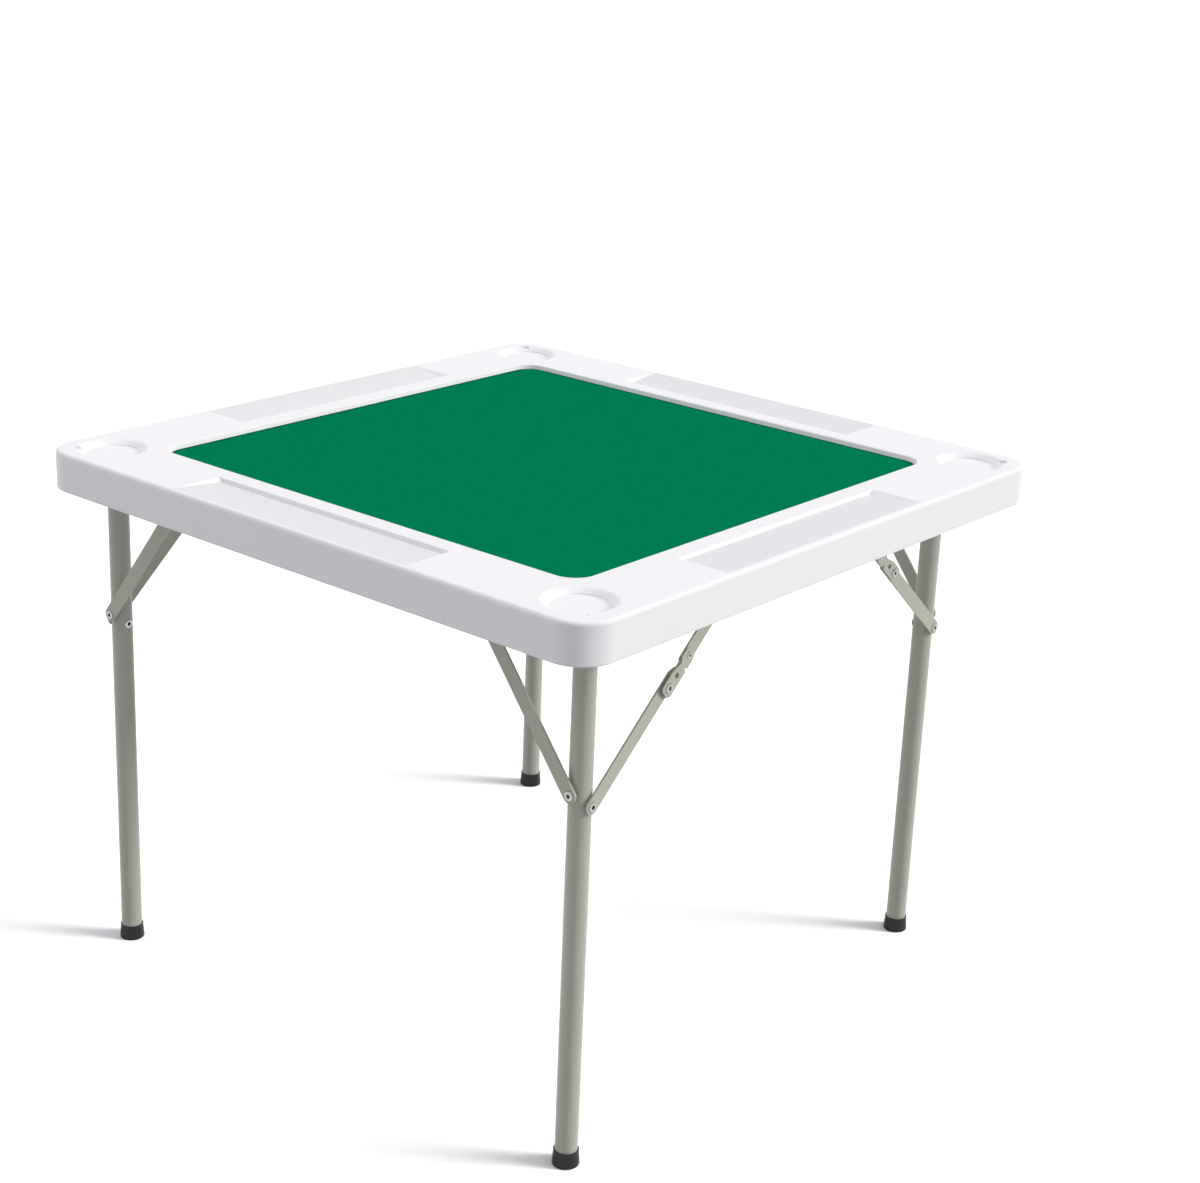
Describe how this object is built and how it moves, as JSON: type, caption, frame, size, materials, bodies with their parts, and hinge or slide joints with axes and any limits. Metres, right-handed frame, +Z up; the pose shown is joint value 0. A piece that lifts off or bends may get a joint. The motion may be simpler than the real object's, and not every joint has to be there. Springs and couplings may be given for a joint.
{
  "type": "folding card table",
  "caption": "Square folding games table with a moulded top, recessed cloth, corner cup recesses, sloped tile trays and fold-away tubular steel leg frames with locking braces.",
  "frame": {"origin": "centre of the table's footprint on the floor", "axes": "+Z up, X along the crossbars of the leg frames, -Y towards the wider leg frame"},
  "size_m": [0.94, 0.94, 0.72],
  "materials": {
    "white_hdpe": "satin blow-moulded white polyethylene",
    "green_felt": "short-nap green cloth",
    "grey_steel": "grey-green powder coat on steel tube and strap",
    "zinc_steel": "bright zinc-plated steel",
    "grey_nylon": "matte moulded nylon",
    "black_cap": "matte black moulded plastic"
  },
  "bodies": {
    "top": {"table_top": "white_hdpe", "playing_felt": "green_felt", "saddle_front_left": "grey_nylon", "bracket_front_left": "zinc_steel", "saddle_front_right": "grey_nylon", "bracket_front_right": "zinc_steel", "saddle_rear_left": "grey_nylon", "bracket_rear_left": "zinc_steel", "saddle_rear_right": "grey_nylon", "bracket_rear_right": "zinc_steel", "saddle_screws": "zinc_steel", "bracket_screws": "zinc_steel", "bracket_pins": "zinc_steel"},
    "front_leg_frame": {"front_crossbar": "grey_steel", "leg_front_left": "grey_steel", "foot_cap_front_left": "black_cap", "end_plug_front_left": "black_cap", "plain_brace_front_left": "grey_steel", "leg_front_right": "grey_steel", "foot_cap_front_right": "black_cap", "end_plug_front_right": "black_cap", "plain_brace_front_right": "grey_steel", "front_rivets": "zinc_steel", "front_spacers": "zinc_steel"},
    "rear_leg_frame": {"rear_crossbar": "grey_steel", "leg_rear_left": "grey_steel", "foot_cap_rear_left": "black_cap", "end_plug_rear_left": "black_cap", "plain_brace_rear_left": "grey_steel", "leg_rear_right": "grey_steel", "foot_cap_rear_right": "black_cap", "end_plug_rear_right": "black_cap", "plain_brace_rear_right": "grey_steel", "rear_rivets": "zinc_steel", "rear_spacers": "zinc_steel"},
    "lower_brace_front_left": {"lower_link_front_left": "grey_steel", "knuckle_tail_front_left": "zinc_steel"},
    "upper_brace_front_left": {"upper_link_front_left": "grey_steel", "lock_plate_front_left": "grey_steel", "plate_rivets_front_left": "zinc_steel"},
    "lower_brace_front_right": {"lower_link_front_right": "grey_steel", "knuckle_tail_front_right": "zinc_steel"},
    "upper_brace_front_right": {"upper_link_front_right": "grey_steel", "lock_plate_front_right": "grey_steel", "plate_rivets_front_right": "zinc_steel"},
    "lower_brace_rear_left": {"lower_link_rear_left": "grey_steel", "knuckle_tail_rear_left": "zinc_steel"},
    "upper_brace_rear_left": {"upper_link_rear_left": "grey_steel", "lock_plate_rear_left": "grey_steel", "plate_rivets_rear_left": "zinc_steel"},
    "lower_brace_rear_right": {"lower_link_rear_right": "grey_steel", "knuckle_tail_rear_right": "zinc_steel"},
    "upper_brace_rear_right": {"upper_link_rear_right": "grey_steel", "lock_plate_rear_right": "grey_steel", "plate_rivets_rear_right": "zinc_steel"}
  },
  "joints": [
    {"name": "front_leg_fold", "type": "hinge", "parent": "top", "child": "front_leg_frame", "pos_m": [0, -0.395, 0.681], "axis": [1, 0, 0], "range_deg": [0, 90]},
    {"name": "lower_brace_turn_front_left", "type": "hinge", "parent": "front_leg_frame", "child": "lower_brace_front_left", "pos_m": [-0.42535, -0.395, 0.475], "axis": [1, 0, 0], "range_deg": [-131.86, 0]},
    {"name": "upper_brace_turn_front_left", "type": "hinge", "parent": "top", "child": "upper_brace_front_left", "pos_m": [-0.42815, -0.165, 0.681], "axis": [1, 0, 0], "range_deg": [0, 138.16]},
    {"name": "lower_brace_turn_front_right", "type": "hinge", "parent": "front_leg_frame", "child": "lower_brace_front_right", "pos_m": [0.42535, -0.395, 0.475], "axis": [1, 0, 0], "range_deg": [-131.86, 0]},
    {"name": "upper_brace_turn_front_right", "type": "hinge", "parent": "top", "child": "upper_brace_front_right", "pos_m": [0.42815, -0.165, 0.681], "axis": [1, 0, 0], "range_deg": [0, 138.16]},
    {"name": "rear_leg_fold", "type": "hinge", "parent": "top", "child": "rear_leg_frame", "pos_m": [0, 0.395, 0.681], "axis": [-1, 0, 0], "range_deg": [0, 90]},
    {"name": "lower_brace_turn_rear_left", "type": "hinge", "parent": "rear_leg_frame", "child": "lower_brace_rear_left", "pos_m": [-0.37735, 0.395, 0.475], "axis": [-1, 0, 0], "range_deg": [-131.86, 0]},
    {"name": "upper_brace_turn_rear_left", "type": "hinge", "parent": "top", "child": "upper_brace_rear_left", "pos_m": [-0.38015, 0.165, 0.681], "axis": [-1, 0, 0], "range_deg": [0, 138.16]},
    {"name": "lower_brace_turn_rear_right", "type": "hinge", "parent": "rear_leg_frame", "child": "lower_brace_rear_right", "pos_m": [0.37735, 0.395, 0.475], "axis": [-1, 0, 0], "range_deg": [-131.86, 0]},
    {"name": "upper_brace_turn_rear_right", "type": "hinge", "parent": "top", "child": "upper_brace_rear_right", "pos_m": [0.38015, 0.165, 0.681], "axis": [-1, 0, 0], "range_deg": [0, 138.16]}
  ],
  "couplings": [
    {"joint": "lower_brace_turn_front_left", "follows": "front_leg_fold", "ratio": -1.465},
    {"joint": "upper_brace_turn_front_left", "follows": "front_leg_fold", "ratio": 1.535},
    {"joint": "lower_brace_turn_front_right", "follows": "front_leg_fold", "ratio": -1.465},
    {"joint": "upper_brace_turn_front_right", "follows": "front_leg_fold", "ratio": 1.535},
    {"joint": "lower_brace_turn_rear_left", "follows": "rear_leg_fold", "ratio": -1.465},
    {"joint": "upper_brace_turn_rear_left", "follows": "rear_leg_fold", "ratio": 1.535},
    {"joint": "lower_brace_turn_rear_right", "follows": "rear_leg_fold", "ratio": -1.465},
    {"joint": "upper_brace_turn_rear_right", "follows": "rear_leg_fold", "ratio": 1.535}
  ]
}
